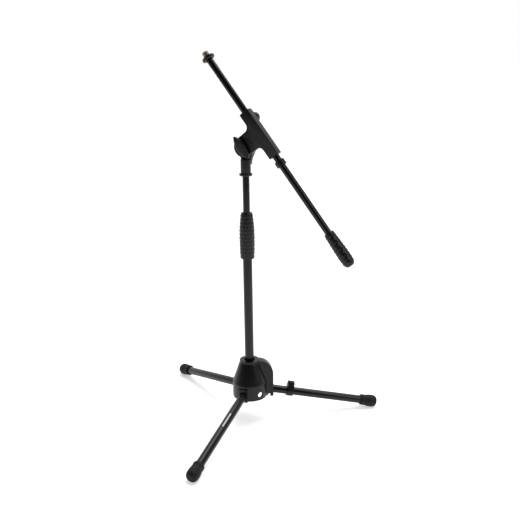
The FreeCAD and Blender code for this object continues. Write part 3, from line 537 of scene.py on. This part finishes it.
# Painted highlight: pointiness makes the raised pips paler than the rubber between them.
wear_and_painted_highlight = add(tree, "ShaderNodeMapRange", [("From Min", 0.48), ("From Max", 0.60)],
           Value=shape.outputs["Pointiness"])
tone = add(tree, "ShaderNodeMix", [("data_type", "RGBA"), (DARKER, linear("0B0B0C")),
                                   (PALER, linear("1B1B1D"))], Factor=wear_and_painted_highlight.outputs["Result"])
soft = add(tree, "ShaderNodeMapRange", [("To Min", 0.30), ("To Max", 0.44)],
           Value=haze.outputs["Fac"])
haze_bump = add(tree, "ShaderNodeBump", [("Strength", 0.2), ("Distance", 0.0001)],
                Height=haze.outputs["Fac"])
tree.links.new(tone.outputs[MIXED], shader.inputs["Base Color"])
tree.links.new(soft.outputs["Result"], shader.inputs["Roughness"])
tree.links.new(haze_bump.outputs["Normal"], shader.inputs["Normal"])

grip_low, grip_high = 413.5, 524.0
barrel = eased([(grip_low, 11.3), (grip_low, 16.2), (grip_low + 2, 16.8),
                (grip_low + 32, 17.5), (grip_low + 56, 17.7), (grip_low + 76, 17.1),
                (grip_high - 15, 15.1), (grip_high - 2, 13.7), (grip_high, 12.4),
                (grip_high, 8.6), (507.5, 8.6), (507.5, 13.3), (417.5, 13.3), (417.5, 11.3)],
               [0, 1, 1.5, 12, 12, 9, 6, 1, 1, 0.3, 0.2, 0.2, 0.2, 0.2], 5)
height_grip = turned("height_grip_sleeve", COLUMN, finely(barrel, 0.6), ring=True, around=240,
                     relief=pips(428.0, 516.5, 11, 10, 13.6), sharp=50)
dress(height_grip, grip_rubber, "height_grip", "black_rubber", "height_grip")

# ---- Swivel holder and its ring ------------------------------------------------------------------
# The head's lower half turns on the column: a nylon ring, then a socket that flares into the
# first of two friction discs. Turned socket and shaped cheek are joined, then bored for the bolt.

tilt = joints["boom_tilt"]
PIVOT = np.array(tilt["pos_m"]) / MM
bolt_way = -np.array(tilt["axis"])
ahead = np.cross(bolt_way, UP)
DISC = 23.5
disc_low, disc_high = 0.7, 12.0

ring = turned("holder_ring_turned", COLUMN,
              eased([(610, 8.6), (610, 13.8), (612, 15.3), (615, 15.3), (616, 14.3), (616, 8.6)],
                    0.6, 4, closed=True), ring=True)
dress(ring, satin_nylon, "pan_head", "black_plastic", "holder_ring")

socket_outline = [(616.1, 8.1), (616.1, 11.2), (616.7, 11.75), (648, 11.75), (651, 10.2),
                  (651, 0)]
socket_bore = [(640, 0), (640, 4.8), (628.1, 4.8), (628.1, 8.05), (616.1, 8.05)]
holder = turned("swivel_holder_moulded", COLUMN,
                np.vstack([eased(socket_outline, [0, 0.3, 0.5, 1.5, 2, 0], 3), socket_bore]),
                ring=True)
neck = np.array([(20.6, 664.6), (15.5, 655), (12.6, 648), (11.3, 641), (11.2, 636)])
cheek_outline = np.vstack([arc((0, PIVOT[2]), DISC, -30, 210, 73),
                           eased(neck * (-1, 1), 4, 3), eased(neck[::-1], 4, 3)])
cheek_seat = (FLOOR, np.array([ahead, UP, bolt_way]))
carved(holder, slab("cheek", cheek_seat, cheek_outline, (0, PIVOT[2]), disc_low,
                    disc_high, 1.0), "UNION")
bolt_bore = [(-30, 0), (-30, 4.05), (40, 4.05), (40, 0)]
bolt_seat = (PIVOT, np.array([bolt_way, ahead, UP]))
carved(holder, turned("bolt_bore", bolt_seat, bolt_bore, around=48))
stud_bore = [(620, 0), (620, 4.8), (640, 4.8), (640, 0)]
carved(holder, turned("stud_bore", COLUMN, stud_bore, around=48))
dress(holder, satin_nylon, "pan_head", "black_plastic", "swivel_holder")

# ---- Pivot bolt ----------------------------------------------------------------------------------
# Plated carriage bolt through both discs, with a low domed head behind the head of the stand.

bolt = turned("pivot_bolt_domed", bolt_seat,
              eased([(-22, 0), (-22, 4), (12.05, 4), (12.05, 9), (13.2, 9), (14.65, 5.5),
                     (14.65, 0)], [0, 0.5, 0, 0.4, 0.6, 4, 0], 5), around=72)
dress(bolt, zinc, "pan_head", "zinc_steel", "pivot_bolt")

# ---- Boom clamp ----------------------------------------------------------------------------------
# Nylon clamp: a square-cornered bar that holds the boom, a stem with hollow-curved shoulders
# and the second friction disc. Three slabs and the lock boss are joined, then bored.

way_up = -np.array(joints["boom_slide"]["axis"])
away = np.cross(way_up, bolt_way)
head_faces = (PIVOT, np.array([way_up, away, -bolt_way]))
BOOM_OFF, BAR_HALF, half_high, half_thick = 48.8, 60.5, 12.5, 10.5
LOCK_AT = 42.0
boom_centre = PIVOT + BOOM_OFF * away
boom_seat = (boom_centre, np.array([way_up, bolt_way, away]))

bar_outline = eased([(-half_thick, -half_high), (half_thick, -half_high),
                     (half_thick, half_high), (-half_thick, half_high)], 1.8, 5, closed=True)
clamp = slab("boom_clamp_moulded", (boom_centre, np.array([bolt_way, away, way_up])),
             bar_outline, (0, 0), -BAR_HALF, BAR_HALF, 1.4)
underside, shoulder = BOOM_OFF - half_high, 12.0
stem_half = np.vstack([[(DISC, -2)], arc((DISC + shoulder, underside - shoulder), shoulder,
                                         180, 92, 17), [(DISC + shoulder, underside + 5)]])
stem_outline = np.vstack([stem_half, stem_half[::-1] * (-1, 1)])
carved(clamp, slab("stem", head_faces, stem_outline, (0, 40), disc_low, half_thick, 1.2),
       "UNION")
carved(clamp, slab("disc", head_faces, arc((0, 0), DISC, 0, 357, 120), (0, 0), disc_low,
                   disc_high, 1.2), "UNION")
lock_centre = boom_centre - LOCK_AT * way_up
lock_seat = (lock_centre, np.array([bolt_way, way_up, away]))
boss = eased([(5, 0), (5, 9), (13.5, 9), (13.5, 0)], [0, 0, 0.8, 0], 4)
carved(clamp, turned("boss", lock_seat, boss, around=64), "UNION")
boom_bore = [(-70, 0), (-70, 9), (70, 9), (70, 0)]
carved(clamp, turned("boom_bore", boom_seat, boom_bore, around=96))
carved(clamp, turned("clamp_bolt_bore", bolt_seat, bolt_bore, around=48))
screw_bore = [(2, 0), (2, 3.05), (20, 3.05), (20, 0)]
carved(clamp, turned("screw_bore", lock_seat, screw_bore, around=40))
dress(clamp, satin_nylon, "boom_clamp", "black_plastic", "boom_clamp")

# ---- Wing knob -----------------------------------------------------------------------------------
# Nylon thumb wing that screws the two discs together: a long lens with full round edges on a
# short boss. The lens is a slab between two arcs, drawn in at the tips.

wing_long, wing_wide, wing_low, wing_high = 30.5, 11.0, 14.5, 24.0
lens_radius = (wing_long ** 2 + wing_wide ** 2) / (2 * wing_wide)
lens_turn = math.degrees(math.asin(wing_long / lens_radius)) * 0.965
lens = arc((0, wing_wide - lens_radius), lens_radius, 90 - lens_turn, 90 + lens_turn, 41)
wing_outline = np.vstack([lens, lens * (-1, -1)])
wing = slab("wing_knob_moulded", head_faces, eased(wing_outline, 0.6, 3, closed=True), (0, 0),
            wing_low, wing_high, 2.6, steps=7)
wing_seat = (PIVOT, np.array([-bolt_way, way_up, -away]))
collar = eased([(13, 0), (13, 10), (18, 10), (18, 0)], [0, 0.6, 0, 0], 3)
carved(wing, turned("collar", wing_seat, collar, around=72), "UNION")
nut_bore = [(10, 0), (10, 6.05), (23, 6.05), (23, 0)]
carved(wing, turned("nut_bore", wing_seat, nut_bore, around=56))
dress(wing, satin_nylon, "wing_knob", "black_plastic", "wing_knob")

# ---- Boom lock knob ------------------------------------------------------------------------------
# Round nylon knob with twelve shallow finger scallops and a crowned face, behind the bar. It
# is turned, and the scallops are a cosine that dies away on the crown and skirt.


def scallops(along, angle, radius):
    """Relief 0.45 * (cos 12a - 1) where the knob is at its full radius, 0 on the bore."""
    return np.where(radius > 11.5, 0.45 * (np.cos(12 * angle) - 1), 0.0)


face = half_thick + 3.3
knob_outline = eased([(face + 10, 3.05), (face, 3.05), (face, 9), (face + 3, 9.5),
                      (face + 3.6, 12.1), (face + 4.4, 12.5), (face + 13.6, 12.5),
                      (face + 15.2, 11), (face + 16.5, 8), (face + 16.5, 0)],
                     [0, 0.2, 0.5, 0.4, 0.5, 0.6, 1.2, 1, 2, 0], 4)
knob = turned("boom_lock_knob_moulded", lock_seat,
              finely(np.vstack([[(face + 10, 0)], knob_outline]), 1.0), around=144,
              relief=scallops, sharp=45)
dress(knob, satin_nylon, "boom_lock_knob", "black_plastic", "boom_lock_knob")

# ---- Boom ----------------------------------------------------------------------------------------
# Powder-coated steel tube, 16 mm across, with a nylon ring behind its thread, a plated thread
# for the microphone clip, a stop ring below the clamp and a pipped rubber hand grip.

BOOM_TIP, BOOM_TAIL, BOOM_RADIUS = -210.5, 346.0, 8.0
boom = turned("boom_tube_coated", boom_seat, tube_wall(BOOM_TIP, BOOM_TAIL, BOOM_RADIUS, 6.8),
              ring=True)
dress(boom, powder_coat, "boom", "painted_steel", "boom_tube")

flange = turned("tip_ring_turned", boom_seat,
                eased(np.array([(0, 8.05), (0, 14), (1, 15), (5.5, 15), (7.5, 12), (7.5, 8.05)])
                      + (BOOM_TIP, 0), 0.7, 4, closed=True), ring=True)
dress(flange, satin_nylon, "boom", "black_plastic", "tip_ring")

STOP_START, STOP_END, STOP_RADIUS = 73.8, 87.3, 12.0
stop = turned("stop_ring_turned", boom_seat,
              tube_wall(STOP_START, STOP_END, STOP_RADIUS, 8.05, 0.7), ring=True)
dress(stop, satin_nylon, "boom", "black_plastic", "stop_ring")

# Nickel plate over brass: warm, bright, slightly clouded, with painted shade in the thread roots,
# where the colour turns dark brown in the hollows.
nickel, tree, shader = finish_of("nickel_plated_brass", [("Metallic", 1.0)])
where = add(tree, "ShaderNodeTexCoord")
cloud = add(tree, "ShaderNodeTexNoise", [("Scale", 350.0), ("Detail", 5.0)],
            Vector=where.outputs["Object"])
root = add(tree, "ShaderNodeNewGeometry")
painted_root_shade = add(tree, "ShaderNodeMapRange", [("From Min", 0.42), ("From Max", 0.52)],
            Value=root.outputs["Pointiness"])
# Painted shade: where pointiness is low, in the thread roots, the colour is painted dark brown.
tone = add(tree, "ShaderNodeMix", [("data_type", "RGBA"), (DARKER, linear("6E5A4C")),
                                   (PALER, linear("C9B8A6"))], Factor=painted_root_shade.outputs["Result"])
plate = add(tree, "ShaderNodeMapRange", [("To Min", 0.18), ("To Max", 0.36)],
            Value=cloud.outputs["Fac"])
tree.links.new(tone.outputs[MIXED], shader.inputs["Base Color"])
tree.links.new(plate.outputs["Result"], shader.inputs["Roughness"])

THREAD, PITCH, THREAD_DEEP = 7.83, 25.4 / 27, 0.55


def helix(along, angle, radius):
    """Thread of one start: r falls by 0.55 mm as a triangle wave of (along / pitch - a / 2 pi),
    and runs out over the last turn at each end."""
    phase = np.mod(along / PITCH - angle / (2 * np.pi), 1)
    far_end = np.clip((along - BOOM_TIP + 12.4) / PITCH, 0, 1)
    near_end = np.clip((BOOM_TIP - 0.6 - along) / PITCH, 0, 1)
    cut = -THREAD_DEEP * np.abs(2 * phase - 1) * (far_end * near_end)
    return np.where(radius > 7.5, cut, 0.0)


screw = np.vstack([
    [(BOOM_TIP + 22, 4), (BOOM_TIP - 12.5, 4), (BOOM_TIP - 12.5, 7.0)],
    finely([(BOOM_TIP - 12.0, THREAD), (BOOM_TIP - 0.05, THREAD)], 0.1),
    [(BOOM_TIP - 0.05, 6.75), (BOOM_TIP + 22, 6.75)]])
adapter = turned("thread_adapter_cut", boom_seat, screw, around=96, ring=True, relief=helix)
dress(adapter, nickel, "boom", "nickel", "thread_adapter")

HAND_START = 268.5
pear = eased(np.array([(0, 8.05), (0, 10.8), (2, 11.8), (20, 12.7), (45, 13.8), (62, 14.3),
                       (76, 13.9), (84, 12.3), (89, 7.5), (89, 0)]) + (HAND_START, 0),
             [0, 0.8, 1.2, 8, 10, 7, 5, 4, 3, 0], 6)
hollow = [(BOOM_TAIL + 0.05, 0), (BOOM_TAIL + 0.05, 8.05)]
hand_grip = turned("hand_grip_sleeve", boom_seat, finely(np.vstack([hollow, pear]), 0.6),
                   around=216, relief=pips(HAND_START + 9, HAND_START + 79, 9, 9, 11.0, 0.8),
                   sharp=50)
dress(hand_grip, grip_rubber, "boom", "black_rubber", "hand_grip")

# ---- Floor, light and camera ---------------------------------------------------------------------
# A plain white floor under even studio light: a pale surround that is darker in front of the
# stand, one wide soft sun, and two soft boxes that draw the highlights along the tubes.

paper, tree, shader = finish_of("white_studio_floor", [
    ("Roughness", 0.9), ("Specular IOR Level", 0.1), ("Emission Color", linear("FFFFFF")),
    ("Emission Strength", 0.5)])
where = add(tree, "ShaderNodeTexCoord")
fibre = add(tree, "ShaderNodeTexNoise", [("Scale", 3.0)], Vector=where.outputs["Object"])
tone = add(tree, "ShaderNodeMix", [("data_type", "RGBA"), (DARKER, linear("F4F4F5")),
                                   (PALER, linear("F6F6F6"))], Factor=fibre.outputs["Fac"])
tree.links.new(tone.outputs[MIXED], shader.inputs["Base Color"])
floor_mesh = bpy.data.meshes.new("studio_floor")
floor_mesh.from_pydata([(-12, -8, 0), (12, -8, 0), (12, 30, 0), (-12, 30, 0)], [], [(0, 1, 2, 3)])
floor = bpy.data.objects.new("studio_floor", floor_mesh)
floor.data.materials.append(paper)
bpy.context.scene.collection.objects.link(floor)

world = bpy.data.worlds.new("studio_surround")
world.use_nodes = True
bpy.context.scene.world = world
tree = world.node_tree
towards = add(tree, "ShaderNodeTexCoord")
parts = add(tree, "ShaderNodeSeparateXYZ", Vector=towards.outputs["Generated"])
behind = add(tree, "ShaderNodeMapRange", [("From Min", -0.1), ("From Max", 0.7),
                                          ("To Min", 0.03), ("To Max", 1.0)],
             Value=parts.outputs["Y"])
tree.links.new(behind.outputs["Result"], tree.nodes["Background"].inputs["Strength"])
tree.nodes["Background"].inputs["Color"].default_value = linear("FFFFFF")


def aimed(name, data, at, target):
    """Lamp at a point in metres, turned so that it shines at the target."""
    lamp = bpy.data.objects.new(name, data)
    bpy.context.scene.collection.objects.link(lamp)
    way = Vector(target) - Vector(at)
    lamp.matrix_world = Matrix.Translation(at) @ way.to_track_quat("-Z", "Y").to_matrix().to_4x4()
    return lamp


sun = bpy.data.lights.new("wide_sun", "SUN")
sun.energy = 1.25
sun.angle = math.radians(50)
aimed("wide_sun", sun, (0.5, 0.5, 2.4), (0, 0, 0.2))
for name, at, size, power in (("key_box", (1.5, -1.1, 1.5), (0.3, 1.6), 13.0),
                              ("top_box", (0.5, 0.6, 2.2), (1.2, 1.2), 12.0)):
    box = bpy.data.lights.new(name, "AREA")
    box.shape = "RECTANGLE"
    box.size, box.size_y = size
    box.energy = power
    aimed(name, box, at, (0, 0, 0.5))

lens_data = bpy.data.cameras.new("product_camera")
lens_data.lens = 50.506
camera = bpy.data.objects.new("product_camera", lens_data)
bpy.context.scene.collection.objects.link(camera)
look, dip, roll = math.radians(82.77), 0.285874, -0.0148
forward = np.array([math.cos(dip) * math.cos(look), math.cos(dip) * math.sin(look),
                    -math.sin(dip)])
level_right = np.cross(forward, UP) / math.cos(dip)
level_up = np.cross(level_right, forward)
right = level_right * math.cos(roll) + level_up * math.sin(roll)
frame_axes = np.array([right, np.cross(right, forward), -forward])
CAMERA_AT = (-0.1796, -1.6503, 0.8960)
camera.matrix_world = Matrix.Translation(CAMERA_AT) @ Matrix(frame_axes.T.tolist()).to_4x4()
bpy.context.scene.camera = camera
bpy.context.scene.view_settings.view_transform = "Standard"
